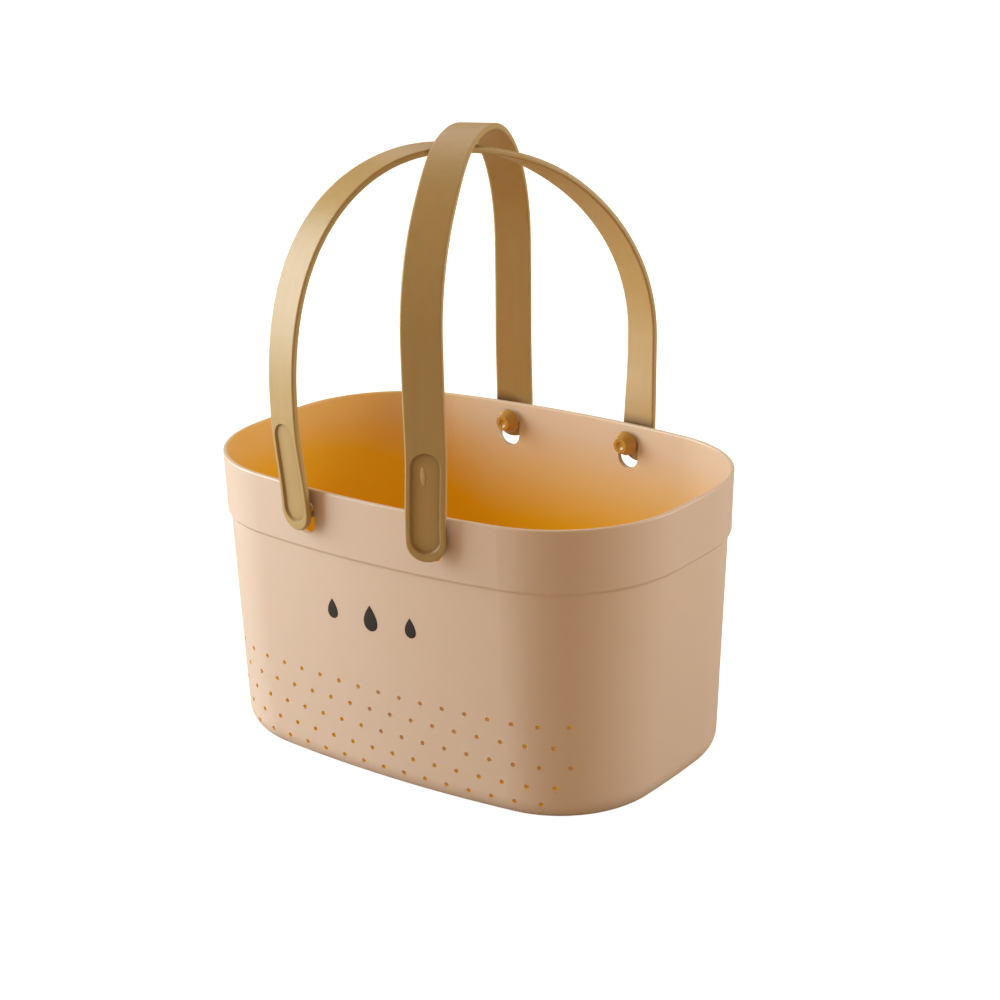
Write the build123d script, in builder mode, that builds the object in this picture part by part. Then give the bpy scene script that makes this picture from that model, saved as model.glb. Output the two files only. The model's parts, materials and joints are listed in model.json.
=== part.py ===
from build123d import *
from math import asin, atan2, cos, degrees, hypot, radians, sin, sqrt, tan
import os

# Shower caddy: an oval basket moulding with two flexible straps that cross over it.
# The origin is the middle of the base, +Z is up and the long walls face -Y and +Y.

os.makedirs("parts", exist_ok=True)

# ---------------------------------------------------------------- basket, driving sizes
RIM_LENGTH = 250.0
RIM_WIDTH = 170.0
BASKET_HEIGHT = 145.0
FOOT_LENGTH = 232.6          # where the drafted walls would meet the table
FOOT_WIDTH = 153.4
RIM_CORNER = (61.0, 16.7, 63.8)     # corner arc of the oval: its centre's x and y, and radius
FOOT_CORNER = (63.5, 20.7, 52.4)
WALL = 2.3
FLOOR = 2.5
FOOT_RADIUS = 12.0
RIM_RADIUS = 0.8

# the thicker band round the rim
BAND_HEIGHT = 31.0
BAND_STEP = 1.2              # how far the band stands out from the wall under it
BAND_SLOPE = 1.6             # height of the small ramp under the band
BAND_DRAFT = 0.9             # how much narrower the band is at its foot, each side

# drain holes, made by pins that pull straight out along Y
DRAIN_DIAMETER = 2.3
DRAIN_PITCH = 12.15
DRAIN_ROWS = [(49.0, 17), (38.8, 16), (28.6, 17), (18.5, 16), (9.9, 15)]   # height, holes
FLOOR_DRAIN_DIAMETER = 3.0
FLOOR_DRAIN_PITCH = 22.0
FLOOR_DRAIN_ROWS = [(-38.0, 6), (-19.0, 7), (0.0, 8), (19.0, 7), (38.0, 6)]  # y, holes

# ------------------------------------------------------------- straps, driving sizes
STUD_X = 36.5                # the four stud slots stand this far from the middle
HINGE_HEIGHT = 135.5
SLOT_WIDTH = 12.0
SLOT_BOTTOM = 122.1
SLOT_TOP = 140.2
STRAP_WIDTH = 18.8
STRAP_THICKNESS = 3.0
STRAP_EDGE_RADIUS = 1.0
PAD_TIP = 10.8               # the strap runs this far past the stud

# arch of each strap in its own upright plane, measured to the outer face
OVER_TOP = 302.6             # highest point
OVER_SHIFT = 0.0             # how far the highest point is from the middle
OVER_SHOULDER = 228.0        # height where the arch is widest
OVER_HALF_SPAN = 103.5
OVER_TUCK = 4.0              # degrees that the ends lean in towards the basket
OVER_STANDOFF = 4.2          # from the basket wall to the strap's inner face

UNDER_TOP = 296.2
UNDER_SHIFT = -20.0
UNDER_SHOULDER = 190.0
UNDER_HALF_SPAN = 100.4
UNDER_TUCK = 2.8
UNDER_STANDOFF = 4.2

# slot-shaped recess in the outer face of each strap end
RECESS_LENGTH = 48.5
RECESS_WIDTH = 14.2
RECESS_DEPTH = 1.1
RECESS_TAPER = 40.0
RECESS_MARGIN = 4.0          # from the recess to the strap's tip

# snap studs
ROOT_LENGTH = 6.5            # from the shoulder outwards, before the strap trims it
SHOULDER_RADIUS = 5.2
SHOULDER_GAP = 1.9           # between the shoulder and the outside of the wall
NECK_RADIUS = 3.3
HEAD_RADIUS = 6.3
HEAD_TIP_RADIUS = 3.7
HEAD_LENGTH = 5.6
HEAD_GAP = 2.3               # between the head and the inside of the wall
HEAD_EDGE = 0.5
DIMPLE_RADIUS = 2.2
DIMPLE_DEPTH = 0.8

# ------------------------------------------------------------------- worked-out values
rim_half = (RIM_LENGTH / 2, RIM_WIDTH / 2)
foot_half = (FOOT_LENGTH / 2, FOOT_WIDTH / 2)
band_foot = BASKET_HEIGHT - BAND_HEIGHT
dimple_sphere = (DIMPLE_RADIUS ** 2 + DIMPLE_DEPTH ** 2) / (2 * DIMPLE_DEPTH)
dimple_angle = degrees(asin(DIMPLE_RADIUS / dimple_sphere))
DRAIN_CUTTER = 0.75 * RIM_WIDTH         # goes through one wall and stays clear of the other
side_drop = RIM_CORNER[1] - rim_half[1]
side_radius = ((RIM_CORNER[2] ** 2 - RIM_CORNER[0] ** 2 - side_drop ** 2)
               / (2 * (side_drop + RIM_CORNER[2])))
wall_y = rim_half[1] - side_radius + sqrt(side_radius ** 2 - STUD_X ** 2)
strap_angle = atan2(STUD_X, wall_y)
wall_reach = hypot(STUD_X, wall_y)      # from the middle to the outside of the wall
UP = Vector(0, 0, 1)


def oval_section(height, half, corner, inset=0.0):
    """One oval face at a height, for a loft. The corner arc's centre and radius set its shape."""
    half_x, half_y = half[0] - inset, half[1] - inset
    centre_x, centre_y, radius = corner[0], corner[1], corner[2] - inset
    side_drop, end_drop = centre_y - half_y, centre_x - half_x
    side_radius = (radius ** 2 - centre_x ** 2 - side_drop ** 2) / (2 * (side_drop + radius))
    end_radius = (radius ** 2 - centre_y ** 2 - end_drop ** 2) / (2 * (end_drop + radius))
    side_start = degrees(atan2(side_drop + side_radius, centre_x))
    end_stop = degrees(atan2(centre_y, end_drop + end_radius))
    with BuildSketch(Plane.XY.offset(height)) as section:
        with BuildLine():
            CenterArc((half_x - end_radius, 0), end_radius, 0, end_stop)
            CenterArc((centre_x, centre_y), radius, end_stop, side_start - end_stop)
            CenterArc((0, half_y - side_radius), side_radius, side_start, 90 - side_start)
            mirror(about=Plane.YZ)
            mirror(about=Plane.XZ)
        make_face()
    return section.sketch


def hole_row(count, pitch):
    """Evenly spaced places along X, with the row centred on the middle."""
    return [(index - (count - 1) / 2) * pitch for index in range(count)]


# --------------------------------------------------------------------------- the basket
with BuildPart() as cavity:
    loft([oval_section(FLOOR, foot_half, FOOT_CORNER, WALL),
          oval_section(BASKET_HEIGHT, rim_half, RIM_CORNER, WALL)])
    fillet(cavity.edges().group_by(Axis.Z)[0], radius=FOOT_RADIUS - WALL)

with BuildPart() as basket:
    loft([oval_section(0, foot_half, FOOT_CORNER),
          oval_section(BASKET_HEIGHT, rim_half, RIM_CORNER, BAND_STEP)])
    fillet(basket.edges().group_by(Axis.Z)[0], radius=FOOT_RADIUS)
    loft([oval_section(band_foot, rim_half, RIM_CORNER, BAND_DRAFT + BAND_STEP),
          oval_section(band_foot + BAND_SLOPE, rim_half, RIM_CORNER, BAND_DRAFT)])
    loft([oval_section(band_foot + BAND_SLOPE, rim_half, RIM_CORNER, BAND_DRAFT),
          oval_section(BASKET_HEIGHT, rim_half, RIM_CORNER)])
    add(cavity.part, mode=Mode.SUBTRACT)
    fillet(basket.edges().group_by(Axis.Z)[-1], radius=RIM_RADIUS)
    for wall_side in (-1, 1):
        for z, count in DRAIN_ROWS:
            with Locations([(x, wall_side * rim_half[1], z) for x in hole_row(count, DRAIN_PITCH)]):
                Cylinder(DRAIN_DIAMETER / 2, DRAIN_CUTTER, rotation=(90, 0, 0), mode=Mode.SUBTRACT)
    with Locations([(x, y, 0) for y, count in FLOOR_DRAIN_ROWS
                    for x in hole_row(count, FLOOR_DRAIN_PITCH)]):
        Cylinder(FLOOR_DRAIN_DIAMETER / 2, 4 * FLOOR, mode=Mode.SUBTRACT)
    with BuildSketch(Plane.XZ):
        with Locations([(x, (SLOT_TOP + SLOT_BOTTOM) / 2) for x in (-STUD_X, STUD_X)]):
            SlotOverall(SLOT_TOP - SLOT_BOTTOM, SLOT_WIDTH, rotation=90)
    extrude(amount=RIM_WIDTH, both=True, mode=Mode.SUBTRACT)

basket.part.label = "basket"
export_step(basket.part, "parts/basket.step")


# --------------------------------------------------------------------------- the straps
def strap_plane(side):
    """Upright plane of a strap. Its X runs to the rear stud and its Y is up."""
    along = Vector(side * sin(strap_angle), cos(strap_angle), 0)
    return Plane(origin=(0, 0, 0), x_dir=along, z_dir=along.cross(UP))


def half_arch(end, arch, inset):
    """Half of one face of the arch, from the highest point to the tip, which it returns."""
    lean = radians(arch["tuck"])
    height = arch["shoulder"] - HINGE_HEIGHT
    fall_back = arch["half_span"] - arch["outer"]
    bend = (height * tan(lean) - fall_back) * cos(lean) / (1 - cos(lean)) - inset
    widest = end * (arch["half_span"] - inset)
    bend_centre = widest - end * bend
    bend_foot = arch["shoulder"] - bend * sin(lean)
    tip_height = HINGE_HEIGHT - PAD_TIP * cos(lean) + inset * sin(lean)
    bend_end = (bend_centre + end * bend * cos(lean), bend_foot)
    tip = (bend_end[0] - end * (bend_foot - tip_height) * tan(lean), tip_height)
    EllipticalCenterArc((arch["shift"], arch["shoulder"]), abs(widest - arch["shift"]),
                        arch["top"] - arch["shoulder"] - inset,
                        start_angle=0 if end > 0 else 90, arc_size=90)
    CenterArc((bend_centre, arch["shoulder"]), bend,
              start_angle=-arch["tuck"] if end > 0 else 180, arc_size=arch["tuck"])
    Line(bend_end, tip)
    return tip


def pad_plane(plane, end, arch):
    """Plane on the outer face of a strap end, over the stud, with its Y up the strap."""
    lean = radians(arch["tuck"])
    outward = plane.x_dir * end
    normal = outward * cos(lean) - UP * sin(lean)
    up_strap = outward * sin(lean) + UP * cos(lean)
    return Plane(origin=outward * arch["outer"] + UP * HINGE_HEIGHT,
                 x_dir=up_strap.cross(normal), z_dir=normal)


def make_strap(plane, arch):
    """An arch of even thickness, with round ends and a slot-shaped recess in each end."""
    with BuildPart() as strap:
        with BuildSketch(plane):
            with BuildLine():
                for end in (-1, 1):
                    outer_tip = half_arch(end, arch, 0)
                    inner_tip = half_arch(end, arch, STRAP_THICKNESS)
                    Line(outer_tip, inner_tip)
            make_face()
        extrude(amount=STRAP_WIDTH / 2, both=True)
        tip_corners = strap.edges().filter_by(
            lambda edge: edge.length < 1.1 * STRAP_THICKNESS and edge.center().Z < SLOT_TOP)
        fillet(tip_corners, radius=STRAP_WIDTH / 2 - 0.02)
        outline = strap.faces().filter_by(plane).edges()
        fillet(outline, radius=STRAP_EDGE_RADIUS)
        for end in (-1, 1):
            with BuildSketch(pad_plane(plane, end, arch)):
                with Locations((0, RECESS_MARGIN - PAD_TIP + RECESS_LENGTH / 2)):
                    SlotOverall(RECESS_LENGTH, RECESS_WIDTH, rotation=90)
            extrude(amount=-RECESS_DEPTH, taper=RECESS_TAPER, mode=Mode.SUBTRACT)
    return strap


def make_stud(plane, end, arch):
    """Snap stud of a strap end: a shoulder, a neck through the slot and a barbed head."""
    inward = Vector(0, -end, 0)
    pivot = plane.x_dir * end * (wall_reach - WALL / 2) + UP * HINGE_HEIGHT
    axis_plane = Plane(origin=pivot, x_dir=inward, z_dir=inward.cross(UP))
    shoulder = -WALL / 2 - SHOULDER_GAP
    root = shoulder - ROOT_LENGTH
    base = WALL / 2 + HEAD_GAP
    tip = base + HEAD_LENGTH
    with BuildPart() as stud:
        with BuildSketch(axis_plane):
            with BuildLine():
                Polyline((root, 0), (root, SHOULDER_RADIUS), (shoulder, SHOULDER_RADIUS),
                         (shoulder, NECK_RADIUS), (base, NECK_RADIUS), (base, HEAD_RADIUS),
                         (base + HEAD_EDGE, HEAD_RADIUS), (tip, HEAD_TIP_RADIUS),
                         (tip, DIMPLE_RADIUS))
                CenterArc((tip - DIMPLE_DEPTH + dimple_sphere, 0), dimple_sphere,
                          start_angle=180 - dimple_angle, arc_size=dimple_angle)
                Line((tip - DIMPLE_DEPTH, 0), (root, 0))
            make_face()
        revolve(axis=Axis(pivot, inward))
        pad = pad_plane(plane, end, arch)
        split(bisect_by=pad.offset(-STRAP_THICKNESS), keep=Keep.BOTTOM)
    return stud


over_arch = {"top": OVER_TOP, "shift": OVER_SHIFT, "shoulder": OVER_SHOULDER,
             "half_span": OVER_HALF_SPAN, "tuck": OVER_TUCK,
             "outer": wall_reach + OVER_STANDOFF + STRAP_THICKNESS}
under_arch = {"top": UNDER_TOP, "shift": UNDER_SHIFT, "shoulder": UNDER_SHOULDER,
              "half_span": UNDER_HALF_SPAN, "tuck": UNDER_TUCK,
              "outer": wall_reach + UNDER_STANDOFF + STRAP_THICKNESS}

for name, side, arch in (("over", -1, over_arch), ("under", 1, under_arch)):
    plane = strap_plane(side)
    strap = make_strap(plane, arch)
    strap.part.label = f"{name}_strap"
    export_step(strap.part, f"parts/{name}_strap.step")
    for end_name, end in (("front", -1), ("rear", 1)):
        stud = make_stud(plane, end, arch)
        stud.part.label = f"{name}_stud_{end_name}"
        export_step(stud.part, f"parts/{name}_stud_{end_name}.step")
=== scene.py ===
"""Shower caddy: materials, small details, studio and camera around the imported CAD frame."""
import json
from math import atan2, cos, pi, radians, sin

import bmesh
import bpy
from mathutils import Matrix, Vector
from mathutils.bvhtree import BVHTree


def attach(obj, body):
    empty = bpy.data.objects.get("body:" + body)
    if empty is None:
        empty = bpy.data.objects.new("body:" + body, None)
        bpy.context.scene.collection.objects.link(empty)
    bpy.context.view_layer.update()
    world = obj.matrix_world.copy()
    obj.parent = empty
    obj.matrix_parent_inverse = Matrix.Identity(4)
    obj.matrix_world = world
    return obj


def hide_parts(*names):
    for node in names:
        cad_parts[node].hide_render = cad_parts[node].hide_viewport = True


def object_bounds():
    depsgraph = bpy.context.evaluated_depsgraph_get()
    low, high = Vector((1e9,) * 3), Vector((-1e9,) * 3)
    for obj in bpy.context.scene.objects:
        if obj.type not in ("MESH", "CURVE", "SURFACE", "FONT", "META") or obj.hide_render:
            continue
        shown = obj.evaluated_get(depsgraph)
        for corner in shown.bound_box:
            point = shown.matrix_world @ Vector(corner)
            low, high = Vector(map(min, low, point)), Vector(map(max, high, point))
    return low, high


MM = 0.001
UP = Vector((0, 0, 1))
SHARP_ANGLE = radians(35)
CLEAR_OF_OBJECT = 200 * MM    # rays cast at the object from outside start this far off

# ------------------------------------------------------------------------- camera and studio
CAMERA_AZIMUTH = 36.02
CAMERA_ELEVATION = 18.82
CAMERA_ROLL = -1.06
CAMERA_DISTANCE = 1.1
CAMERA_LENS = 81.67
CAMERA_SENSOR = 36
CAMERA_REACH = 50
AIM_RIGHT = 0.01219           # the camera aims this far to the right of the basket's middle
AIM_HEIGHT = 0.12124

# azimuth and elevation in degrees, distance and size in metres, power in watts, and colour
LIGHTS = {
    "key": (-62, 15, 1.7, 1.3, 39, (0.83, 0.94, 1.0)),
    "back": (212, 38, 1.6, 1.0, 3, (0.95, 0.98, 1.0)),
    "side": (125, 16, 1.6, 0.8, 12, (0.88, 0.97, 1.0)),
}
FILL_COLOUR = (1, 0.64, 0.30, 1)
FILL_STRENGTH = 0.42
FLOOR_SIZE = 30.0
FLOOR_GAP = 0.2 * MM
FLOOR_GLOW = 0.97

# --------------------------------------------------------------------------------- details
# printed mark on the front wall: a row of water drops in place of lettering
MARK_CENTRE_X = -1.6 * MM
MARK_CENTRE_Z = 86.5 * MM
DROP_PITCH = 23 * MM
DROP_HEIGHTS = [10 * MM, 13 * MM, 10 * MM]
DROP_WIDTH_RATIO = 0.62
DROP_FULLNESS = 1.3           # how far the drop's round foot swells past a plain pinched oval
DROP_STEPS = 40
PRINT_THICKNESS = 0.12 * MM
# share of the outline and of the thickness, from the ring sunk in the wall to the flat middle
PRINT_RINGS = [(1.0, -0.5), (1.0, 0.7), (0.94, 1.0), (0.6, 1.0), (0.25, 1.0)]

# small moulding marks on the over strap, the pad's one painted pale as a highlight: width, length
# and height
PAD_MARK_HEIGHT = 166 * MM
PAD_MARK_SIZE = (2.4 * MM, 9.0 * MM, 0.35 * MM)
GATE_MARK_SIZE = (7.0 * MM, 12.0 * MM, 0.22 * MM)
DOME_LEVELS = 6
DOME_STEPS = 32
DOME_SUNK = 0.1               # share of a mark's height that lies below the strap's surface
DOME_CLEARANCE = 10 * MM

# How the soft straps relax, for the front end (-1) and the rear end (1): the turn about their
# own length on the side and at the pad, in degrees, and how far the pad leans in, the side
# sways along the basket and the arch bulges.
RELAX = {
    "over_strap": {
        -1: {"side_turn": 0, "pad_turn": 0, "lean": 0, "sway": 1.8 * MM, "bulge": 0},
        1: {"side_turn": 0, "pad_turn": 0, "lean": 0, "sway": -0.8 * MM, "bulge": 0},
    },
    "under_strap": {
        -1: {"side_turn": 10, "pad_turn": 13, "lean": 2.0 * MM, "sway": 0, "bulge": 3.0 * MM},
        1: {"side_turn": 10, "pad_turn": 19, "lean": 1.6 * MM, "sway": -2.0 * MM,
            "bulge": -0.8 * MM},
    },
}
SIDE_START = 20 * MM          # the side's turn and sway grow between these distances from the top
SIDE_END = 75 * MM
PAD_BLEND = 45 * MM           # height over the hinge within which the side becomes the pad
LEG_STEP = 3 * MM             # the legs are cut this finely, so that they turn smoothly
CUT_TOLERANCE = 1e-6
STUD_SEAT = 0.5 * MM          # a stud's root stands this deep in its pad
ROOT_TOLERANCE = 0.1 * MM


def linear(red, green, blue):
    """A colour given as display values from 0 to 255, turned into the linear values of a shader."""
    def channel(value):
        value /= 255
        return value / 12.92 if value <= 0.04045 else ((value + 0.055) / 1.055) ** 2.4
    return (channel(red), channel(green), channel(blue), 1.0)


# ------------------------------------------------------------------------------- materials
BLACK = (0, 0, 0, 1)
WHITE = (1, 1, 1, 1)
BASKET_LIGHT = linear(228, 206, 188)
BASKET_WARM = linear(224, 198, 175)
# painted glow: these inside colours and emissions stand in for light that passes through the thin
# wall
INSIDE_PAINTED_GLOW_UPPER = linear(229, 202, 170)
INSIDE_PAINTED_GLOW_DEEP = linear(238, 186, 24)
INSIDE_PAINTED_EMISSION = (0.0, 0.03, 0.04, 1)
DEEP_PAINTED_EMISSION = (0.06, 0.04, 0.0, 1)
# the painted orange glow inside grows downwards from this height, and towards the end at low x
PAINTED_GLOW_TOP = 134 * MM
PAINTED_GLOW_FADE = 50 * MM
PAINTED_GLOW_END_START = -50 * MM
PAINTED_GLOW_END_FADE = 100 * MM
INNER_DISTANCE = 10 * MM      # an inner wall looks at the middle line from further off than this
FLOOR_FACING = 0.5            # an inner floor's normal rises more than this
FLOOR_TOP = 20 * MM
CLOUD_SHARE = 0.35            # how much of the warmer colour the outside takes on in patches

STRAP_LIGHT = linear(196, 168, 114)
STRAP_DARK = linear(181, 149, 92)
# painted shade: the colour that creases, recesses and the strap near the wall are darkened towards
STRAP_PAINTED_SHADE = linear(104, 70, 30)
PAINTED_SHADE_REACH = 6 * MM         # painted shade: creases darken within this distance of another face
PAINTED_SHADE_POWER = 2.4
STRAP_FLOW_SHARE = 0.6
STRAP_FLOW_STRETCH = (6, 6, 0.5)
# painted light: the studs take a lighter, yellower copy of the strap colour for light let through
# their thin heads
STUD_LIT_LIGHT = linear(208, 166, 86)
STUD_LIT_DARK = linear(184, 138, 60)
INK_LIGHT = linear(46, 34, 30)
INK_DARK = linear(30, 22, 20)
# painted highlight: pale colours for the raised mark in the pad's recess
HIGHLIGHT_PAINT_LIGHT = linear(232, 205, 160)
HIGHLIGHT_PAINT_DARK = linear(210, 178, 126)
FLOOR_LIGHT = linear(196, 182, 164)
FLOOR_DARK = linear(192, 178, 160)


class Shader:
    """A short way to add and link the nodes of one material."""

    def __init__(self, name):
        self.material = bpy.data.materials.new(name)
        self.material.use_nodes = True
        self.tree = self.material.node_tree
        self.surface = self.tree.nodes["Principled BSDF"]

    def node(self, kind, **settings):
        made = self.tree.nodes.new(kind)
        for key, value in settings.items():
            setattr(made, key, value)
        return made

    def link(self, source, target):
        self.tree.links.new(source, target)

    def feed(self, source, name):
        """Links a value into the surface's own socket."""
        self.link(source, self.surface.inputs[name])

    def set(self, **values):
        """Sets constants on the surface's own sockets."""
        for key, value in values.items():
            self.surface.inputs[key.replace("_", " ")].default_value = value

    def math(self, operation, first, second, clamp=False):
        """One sum on two values, each a number or another node's output."""
        made = self.node("ShaderNodeMath", operation=operation, use_clamp=clamp)
        for socket, value in zip(made.inputs, (first, second)):
            if isinstance(value, (int, float)):
                socket.default_value = value
            else:
                self.link(value, socket)
        return made.outputs[0]

    def mix(self, factor, first, second):
        """Blends two colours, whose sockets are the seventh and eighth of a Mix node."""
        made = self.node("ShaderNodeMix", data_type="RGBA")
        for socket, value in zip((made.inputs[0], made.inputs[6], made.inputs[7]),
                                 (factor, first, second)):
            if isinstance(value, (int, float, tuple)):
                socket.default_value = value
            else:
                self.link(value, socket)
        return made.outputs[2]

    def noise(self, scale, detail=2.0, stretch=(1, 1, 1)):
        """Noise in the object's own coordinates, with its scale in cells per metre."""
        place = self.node("ShaderNodeTexCoord")
        mapping = self.node("ShaderNodeMapping")
        mapping.inputs["Scale"].default_value = stretch
        self.link(place.outputs["Object"], mapping.inputs["Vector"])
        made = self.node("ShaderNodeTexNoise")
        made.inputs["Scale"].default_value = scale
        made.inputs["Detail"].default_value = detail
        self.link(mapping.outputs[0], made.inputs["Vector"])
        return made.outputs["Fac"]

    def share(self, value, start, length):
        """0 at a start and above it, 1 a length below it."""
        return self.math("DIVIDE", self.math("SUBTRACT", start, value), length, clamp=True)

    def roughness(self, scale, smoothest, spread):
        """A satin surface that varies a little from place to place."""
        spots = self.math("MULTIPLY", self.noise(scale), spread)
        self.feed(self.math("ADD", spots, smoothest), "Roughness")

    def bump(self, height, strength, distance):
        """Fine relief on the surface."""
        made = self.node("ShaderNodeBump")
        made.inputs["Strength"].default_value = strength
        made.inputs["Distance"].default_value = distance
        self.link(height, made.inputs["Height"])
        self.feed(made.outputs[0], "Normal")


def basket_plastic():
    """Satin beige polypropylene, painted warmer, orange and faintly emissive inside: a painted glow
    for light that passes through the wall.
    """
    shader = Shader("basket_plastic")
    place = shader.node("ShaderNodeTexCoord")
    position = shader.node("ShaderNodeSeparateXYZ")
    normal = shader.node("ShaderNodeSeparateXYZ")
    shader.link(place.outputs["Object"], position.inputs[0])
    shader.link(place.outputs["Normal"], normal.inputs[0])
    x, y, z = position.outputs
    across = shader.math("MULTIPLY", x, normal.outputs[0])
    along = shader.math("MULTIPLY", y, normal.outputs[1])
    inwards = shader.math("MULTIPLY", shader.math("ADD", across, along), -1.0)
    inner_wall = shader.math("GREATER_THAN", inwards, INNER_DISTANCE)
    inner_floor = shader.math("MULTIPLY",
                              shader.math("GREATER_THAN", normal.outputs[2], FLOOR_FACING),
                              shader.math("LESS_THAN", z, FLOOR_TOP))
    inside = shader.math("MAXIMUM", inner_wall, inner_floor)
    depth = shader.share(z, PAINTED_GLOW_TOP, PAINTED_GLOW_FADE)
    end = shader.share(x, PAINTED_GLOW_END_START, PAINTED_GLOW_END_FADE)
    # painted glow: the inside turns orange and emissive low down and towards the end at low x
    painted_glow = shader.math("MULTIPLY", inside, shader.math("ADD", depth, end, clamp=True))
    cloud = shader.math("MULTIPLY", shader.noise(9.0), CLOUD_SHARE)
    outside_colour = shader.mix(cloud, BASKET_LIGHT, BASKET_WARM)
    inside_painted_glow = shader.mix(painted_glow, INSIDE_PAINTED_GLOW_UPPER, INSIDE_PAINTED_GLOW_DEEP)
    shader.feed(shader.mix(inside, outside_colour, inside_painted_glow), "Base Color")
    shader.feed(shader.mix(painted_glow, shader.mix(inside, BLACK, INSIDE_PAINTED_EMISSION), DEEP_PAINTED_EMISSION),
                "Emission Color")
    shader.roughness(scale=260.0, smoothest=0.36, spread=0.10)
    shader.bump(shader.noise(2600.0, detail=3.0), strength=0.10, distance=0.2 * MM)
    shader.set(IOR=1.49, Specular_IOR_Level=0.8, Coat_Weight=0.3, Coat_Roughness=0.35,
               Emission_Strength=1.0, Subsurface_Weight=0.12, Subsurface_Scale=6 * MM,
               Subsurface_Radius=(1.0, 0.45, 0.18))
    return shader.material


def strap_rubber():
    """Satin khaki elastomer with faint flow lines along its length, and painted shade that darkens
    its creases.
    """
    shader = Shader("strap_rubber")
    flow = shader.noise(40.0, detail=4.0, stretch=STRAP_FLOW_STRETCH)
    patch = shader.mix(shader.math("MULTIPLY", flow, STRAP_FLOW_SHARE), STRAP_LIGHT, STRAP_DARK)
    # painted shade: ambient occlusion darkens the colour in creases, recesses and where the strap
    # nears the wall
    painted_crease_shade = shader.node("ShaderNodeAmbientOcclusion", samples=8)
    painted_crease_shade.inputs["Distance"].default_value = PAINTED_SHADE_REACH
    openness = shader.math("POWER", painted_crease_shade.outputs["AO"], PAINTED_SHADE_POWER)
    shader.feed(shader.mix(openness, STRAP_PAINTED_SHADE, patch), "Base Color")
    shader.roughness(scale=300.0, smoothest=0.34, spread=0.12)
    shader.bump(shader.noise(3000.0, detail=3.0), strength=0.12, distance=0.2 * MM)
    shader.set(IOR=1.5, Specular_IOR_Level=0.45, Subsurface_Weight=0.06,
               Subsurface_Scale=3 * MM, Subsurface_Radius=(1.0, 0.6, 0.25))
    return shader.material


def stud_rubber():
    """The same elastomer in the studs, painted lighter and yellower for the light that the thin
    round heads let through.
    """
    shader = Shader("stud_rubber")
    shader.feed(shader.mix(shader.noise(220.0), STUD_LIT_LIGHT, STUD_LIT_DARK), "Base Color")
    shader.bump(shader.noise(1800.0, detail=3.0), strength=0.08, distance=0.2 * MM)
    shader.set(Roughness=0.22, IOR=1.5, Specular_IOR_Level=0.7, Subsurface_Weight=0.2,
               Subsurface_Scale=4 * MM, Subsurface_Radius=(1.0, 0.6, 0.2))
    return shader.material


def print_ink():
    """Matt dark brown ink with a slightly uneven surface."""
    shader = Shader("print_ink")
    shader.feed(shader.mix(shader.noise(500.0), INK_LIGHT, INK_DARK), "Base Color")
    shader.bump(shader.noise(2400.0), strength=0.15, distance=0.1 * MM)
    shader.set(Roughness=0.55)
    return shader.material


def pale_mark():
    """Painted highlight: the same elastomer painted pale and a little glossier, on a raised mark.
    """
    shader = Shader("pale_mark")
    shader.feed(shader.mix(shader.noise(400.0), HIGHLIGHT_PAINT_LIGHT, HIGHLIGHT_PAINT_DARK), "Base Color")
    shader.set(Roughness=0.3, IOR=1.5)
    return shader.material


def floor_paint():
    """Plain pale studio floor that looks white and sends only a little warm light back up."""
    shader = Shader("floor_paint")
    shader.feed(shader.mix(shader.noise(0.6), FLOOR_LIGHT, FLOOR_DARK), "Base Color")
    rays = shader.node("ShaderNodeLightPath")
    shader.feed(shader.math("MULTIPLY", rays.outputs["Is Camera Ray"], FLOOR_GLOW),
                "Emission Strength")
    shader.set(Roughness=0.9, Emission_Color=WHITE)
    return shader.material


# ---------------------------------------------------------------------------------- pieces
def dress(obj, material):
    """Gives every slot of an object one material."""
    obj.data.materials.clear()
    obj.data.materials.append(material)


def surface_of(obj):
    """Ray-casting tree of one object that stands at the origin."""
    mesh = bmesh.new()
    mesh.from_mesh(obj.data)
    tree = BVHTree.FromBMesh(mesh)
    mesh.free()
    return tree


def new_piece(name, mesh, material, body):
    """Turns a bmesh into a smooth object that rides on a body."""
    bmesh.ops.recalc_face_normals(mesh, faces=mesh.faces)
    data = bpy.data.meshes.new(name)
    mesh.to_mesh(data)
    mesh.free()
    data.shade_smooth()
    piece = bpy.data.objects.new(name, data)
    bpy.context.scene.collection.objects.link(piece)
    dress(piece, material)
    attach(piece, body)
    return piece


def close_rings(mesh, rings):
    """Joins rings of points into a skin and closes its first and last ring."""
    for lower, upper in zip(rings, rings[1:]):
        for index in range(len(lower)):
            after = (index + 1) % len(lower)
            mesh.faces.new((lower[index], lower[after], upper[after], upper[index]))
    mesh.faces.new(rings[-1])
    mesh.faces.new(reversed(rings[0]))


def drop_outline(width, height):
    """A water drop: round at the foot and drawn out to a point at the top."""
    points = []
    for index in range(DROP_STEPS):
        turn = 2 * pi * index / DROP_STEPS
        swell = DROP_FULLNESS * sin(turn / 2)
        points.append((0.5 * width * sin(turn) * swell, 0.5 * height * cos(turn)))
    return points


def printed_drop(name, centre_x, height, wall, material):
    """One drop of ink that follows the front wall."""
    mesh = bmesh.new()
    outline = drop_outline(height * DROP_WIDTH_RATIO, height)
    rings = []
    for scale, lift in PRINT_RINGS:
        ring = []
        for x, z in outline:
            start = Vector((centre_x + x * scale, -CLEAR_OF_OBJECT, MARK_CENTRE_Z + z * scale))
            hit, normal, _, _ = wall.ray_cast(start, Vector((0, 1, 0)))
            ring.append(mesh.verts.new(hit + normal * PRINT_THICKNESS * lift))
        rings.append(ring)
    close_rings(mesh, rings)
    piece = new_piece(name, mesh, material, "basket")
    piece.data.set_sharp_from_angle(angle=SHARP_ANGLE)


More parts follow.
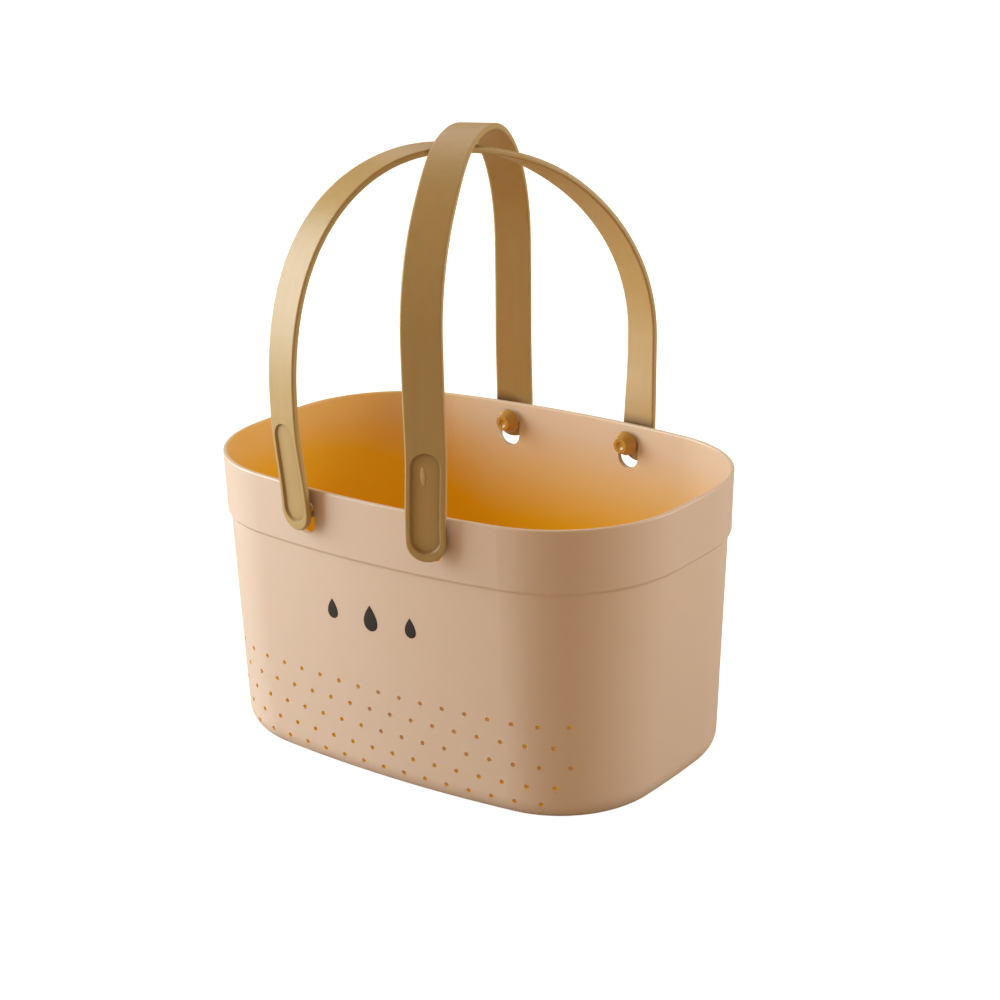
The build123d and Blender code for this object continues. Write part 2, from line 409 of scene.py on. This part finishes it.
def oval_mark(name, origin, direction, size, across, tree, material):
    """A low oval dome that sits on the strap where a ray from origin meets it."""
    width, length, height = size
    hit, normal, _, _ = tree.ray_cast(origin, direction)
    along = normal.cross(across).normalized()
    mesh = bmesh.new()
    rings = []
    for level in range(DOME_LEVELS):
        rise = 0.5 * pi * level / DOME_LEVELS
        lift = height * (sin(rise) - DOME_SUNK)
        ring = []
        for index in range(DOME_STEPS):
            turn = 2 * pi * index / DOME_STEPS
            shift = across * (0.5 * width * cos(rise) * cos(turn))
            shift += along * (0.5 * length * cos(rise) * sin(turn))
            foot, facing, _, _ = tree.ray_cast(hit + shift + normal * DOME_CLEARANCE, -normal)
            ring.append(mesh.verts.new(foot + facing * lift))
        rings.append(ring)
    close_rings(mesh, rings)
    new_piece(name, mesh, material, "over_handle")


def smoothstep(value, start, end):
    """0 up to start, 1 from end, and smooth between them."""
    share = min(max((value - start) / (end - start), 0), 1)
    return share * share * (3 - 2 * share)


def strap_ends(mesh, along, apex, hinge_height):
    """For each end of an arch: how far it reaches, its shoulder's height and its foot's reach."""
    ends = {}
    for end in (-1, 1):
        widest = max(mesh.verts, key=lambda vert: end * vert.co.dot(along)).co
        foot = max(end * vert.co.dot(along) for vert in mesh.verts
                   if vert.co.z < hinge_height and end * vert.co.dot(along) > 0)
        ends[end] = (end * (widest.dot(along) - apex), widest.z, foot - end * apex)
    return ends


def cut_legs(mesh, foot, shoulder):
    """Cuts the long faces of both legs across, between two heights."""
    level = foot
    while level < shoulder:
        bmesh.ops.bisect_plane(mesh, geom=mesh.verts[:] + mesh.edges[:] + mesh.faces[:],
                               plane_co=(0, 0, level), plane_no=UP, dist=CUT_TOLERANCE)
        level += LEG_STEP


def relaxed_strap(name, node, along, hinge_height, body):
    """A soft strap as it hangs, turned a little about its own length and leaning in at its pads.

    The middle of its outer face is an ellipse quarter each side of the highest point, over legs
    that draw in towards the hinge. Every cross-section turns about that line.
    """
    mesh = bmesh.new()
    mesh.from_mesh(node.data)
    top = max(mesh.verts, key=lambda vert: vert.co.z).co.copy()
    across = along.cross(UP)
    apex = top.dot(along)
    ends = strap_ends(mesh, along, apex, hinge_height)
    cut_legs(mesh, hinge_height, max(shoulder for _, shoulder, _ in ends.values()))
    for vert in mesh.verts:
        place = vert.co.dot(along) - apex
        end = 1 if place > 0 else -1
        reach, shoulder, foot = ends[end]
        habit = RELAX[node.name][end]
        pad = 1 - smoothstep(vert.co.z, hinge_height, hinge_height + PAD_BLEND)
        side = smoothstep(abs(place), SIDE_START, SIDE_END) * (1 - pad)
        turn = radians(habit["side_turn"] * side + habit["pad_turn"] * pad)
        move = across * (habit["sway"] * side) - along * (end * habit["lean"] * pad)
        if vert.co.z > shoulder:
            height = top.z - shoulder
            angle = atan2((vert.co.z - shoulder) / height, abs(place) / reach)
            centre = along * (apex + end * reach * cos(angle))
            centre.z = shoulder + height * sin(angle)
            tangent = along * (-end * reach * sin(angle))
            tangent.z = height * cos(angle)
            outward = along * (end * cos(angle)) + UP * sin(angle)
            move += outward * (habit["bulge"] * sin(2 * angle) ** 2)
        else:
            share = (vert.co.z - hinge_height) / (shoulder - hinge_height)
            centre = along * (apex + end * (foot + (reach - foot) * share))
            centre.z = vert.co.z
            tangent = UP
        vert.co = centre + Matrix.Rotation(turn, 3, tangent) @ (vert.co - centre) + move
    piece = new_piece(name, mesh, strap_material, body)
    piece.data.set_sharp_from_angle(angle=SHARP_ANGLE)
    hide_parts(node.name)
    return piece


def seated_stud(name, node, end, along, strap_tree, body):
    """A stud whose root reaches just into the pad that it stands on."""
    mesh = bmesh.new()
    mesh.from_mesh(node.data)
    root = max(end * vert.co.dot(along) for vert in mesh.verts)
    outward = Vector((0, end, 0))
    for vert in mesh.verts:
        start = Vector((vert.co.x, 0, vert.co.z))
        hit, _, _, _ = strap_tree.ray_cast(start, outward)
        if hit is None:
            continue
        seat = hit + outward * STUD_SEAT
        at_root = end * vert.co.dot(along) > root - ROOT_TOLERANCE
        if at_root or end * vert.co.y > end * seat.y:
            vert.co = seat
    piece = new_piece(name, mesh, stud_material, body)
    piece.data.set_sharp_from_angle(angle=SHARP_ANGLE)
    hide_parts(node.name)


# ---------------------------------------------------------------------------------- studio
def direction_from(azimuth, elevation):
    """The way from the object to a camera or light at an azimuth and elevation, in degrees."""
    turn, tilt = radians(azimuth), radians(elevation)
    return Vector((sin(turn) * cos(tilt), -cos(turn) * cos(tilt), sin(tilt)))


def area_light(name, azimuth, elevation, distance, size, power, colour):
    """A square softbox aimed at the middle of the object, placed like a camera would be."""
    away = direction_from(azimuth, elevation)
    data = bpy.data.lights.new(name, "AREA")
    data.shape = "SQUARE"
    data.size = size
    data.energy = power
    data.color = colour
    light = bpy.data.objects.new(name, data)
    light.location = UP * AIM_HEIGHT + away * distance
    light.rotation_euler = away.to_track_quat("Z", "Y").to_euler()
    bpy.context.scene.collection.objects.link(light)


def add_camera():
    """The camera at the object's three-quarter view, rolled a little about its line of sight."""
    back = direction_from(CAMERA_AZIMUTH, CAMERA_ELEVATION)
    turn, roll = radians(CAMERA_AZIMUTH), radians(CAMERA_ROLL)
    right = Vector((cos(turn), sin(turn), 0))
    up = back.cross(right)
    rolled_right = right * cos(roll) + up * sin(roll)
    rolled_up = up * cos(roll) - right * sin(roll)
    target = right * AIM_RIGHT + UP * AIM_HEIGHT
    data = bpy.data.cameras.new("camera")
    data.lens = CAMERA_LENS
    data.sensor_width = CAMERA_SENSOR
    data.clip_end = CAMERA_REACH
    camera = bpy.data.objects.new("camera", data)
    axes = Matrix((rolled_right, rolled_up, back)).transposed().to_4x4()
    camera.matrix_world = Matrix.Translation(target + back * CAMERA_DISTANCE) @ axes
    bpy.context.scene.collection.objects.link(camera)
    bpy.context.scene.camera = camera


def add_floor(height):
    """A wide floor under the object."""
    mesh = bmesh.new()
    bmesh.ops.create_grid(mesh, x_segments=8, y_segments=8, size=FLOOR_SIZE / 2)
    data = bpy.data.meshes.new("floor")
    mesh.to_mesh(data)
    mesh.free()
    floor = bpy.data.objects.new("floor", data)
    floor.location.z = height
    bpy.context.scene.collection.objects.link(floor)
    dress(floor, floor_paint())


def add_world():
    """White behind the scene, and a dimmer warm light from all round."""
    world = bpy.data.worlds.new("studio")
    bpy.context.scene.world = world
    world.use_nodes = True
    tree = world.node_tree
    fill = tree.nodes["Background"]
    fill.inputs["Color"].default_value = FILL_COLOUR
    fill.inputs["Strength"].default_value = FILL_STRENGTH
    white = tree.nodes.new("ShaderNodeBackground")
    white.inputs["Color"].default_value = WHITE
    rays = tree.nodes.new("ShaderNodeLightPath")
    mix = tree.nodes.new("ShaderNodeMixShader")
    tree.links.new(rays.outputs["Is Camera Ray"], mix.inputs[0])
    tree.links.new(fill.outputs[0], mix.inputs[1])
    tree.links.new(white.outputs[0], mix.inputs[2])
    tree.links.new(mix.outputs[0], tree.nodes["World Output"].inputs["Surface"])


# ----------------------------------------------------------------------------------- scene
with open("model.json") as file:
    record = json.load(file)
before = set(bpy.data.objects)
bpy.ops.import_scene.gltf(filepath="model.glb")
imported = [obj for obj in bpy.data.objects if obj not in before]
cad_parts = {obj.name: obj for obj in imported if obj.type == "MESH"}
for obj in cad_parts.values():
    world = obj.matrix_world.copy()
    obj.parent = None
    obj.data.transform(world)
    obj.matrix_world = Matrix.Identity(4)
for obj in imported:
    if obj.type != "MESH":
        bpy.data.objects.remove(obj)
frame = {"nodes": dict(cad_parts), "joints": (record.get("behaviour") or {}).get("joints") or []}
cad_low, cad_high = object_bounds()
nodes = frame["nodes"]
strap_material = strap_rubber()
stud_material = stud_rubber()
dress(nodes["basket"], basket_plastic())

strap_trees = {}
strap_lines = {}
for joint in frame["joints"]:
    body = joint["child"]
    handle = body.replace("_handle", "")
    along = Vector(joint["axis"]).normalized()
    strap = relaxed_strap(f"soft_{handle}_strap", nodes[f"{handle}_strap"], along,
                          joint["pos_m"][2], body)
    strap_trees[handle] = surface_of(strap)
    strap_lines[handle] = along
    for place, end in (("front", -1), ("rear", 1)):
        seated_stud(f"soft_{handle}_stud_{place}", nodes[f"{handle}_stud_{place}"], end, along,
                    strap_trees[handle], body)

front_wall = surface_of(nodes["basket"])
ink = print_ink()
middle_drop = len(DROP_HEIGHTS) // 2
for index, height in enumerate(DROP_HEIGHTS):
    centre_x = MARK_CENTRE_X + (index - middle_drop) * DROP_PITCH
    printed_drop(f"printed_drop_{index + 1}", centre_x, height, front_wall, ink)

over_along = strap_lines["over"]
# raised mark in the front pad's recess, painted pale as a highlight
oval_mark("pad_mark", UP * PAD_MARK_HEIGHT - over_along * CLEAR_OF_OBJECT, over_along,
          PAD_MARK_SIZE, UP.cross(over_along), strap_trees["over"], pale_mark())
oval_mark("gate_mark", UP * (cad_high.z + CLEAR_OF_OBJECT), -UP, GATE_MARK_SIZE, over_along,
          strap_trees["over"], strap_material)

add_floor(cad_low.z - FLOOR_GAP)
add_world()
for name, settings in LIGHTS.items():
    area_light(name, *settings)
add_camera()
bpy.context.scene.view_settings.view_transform = "Standard"
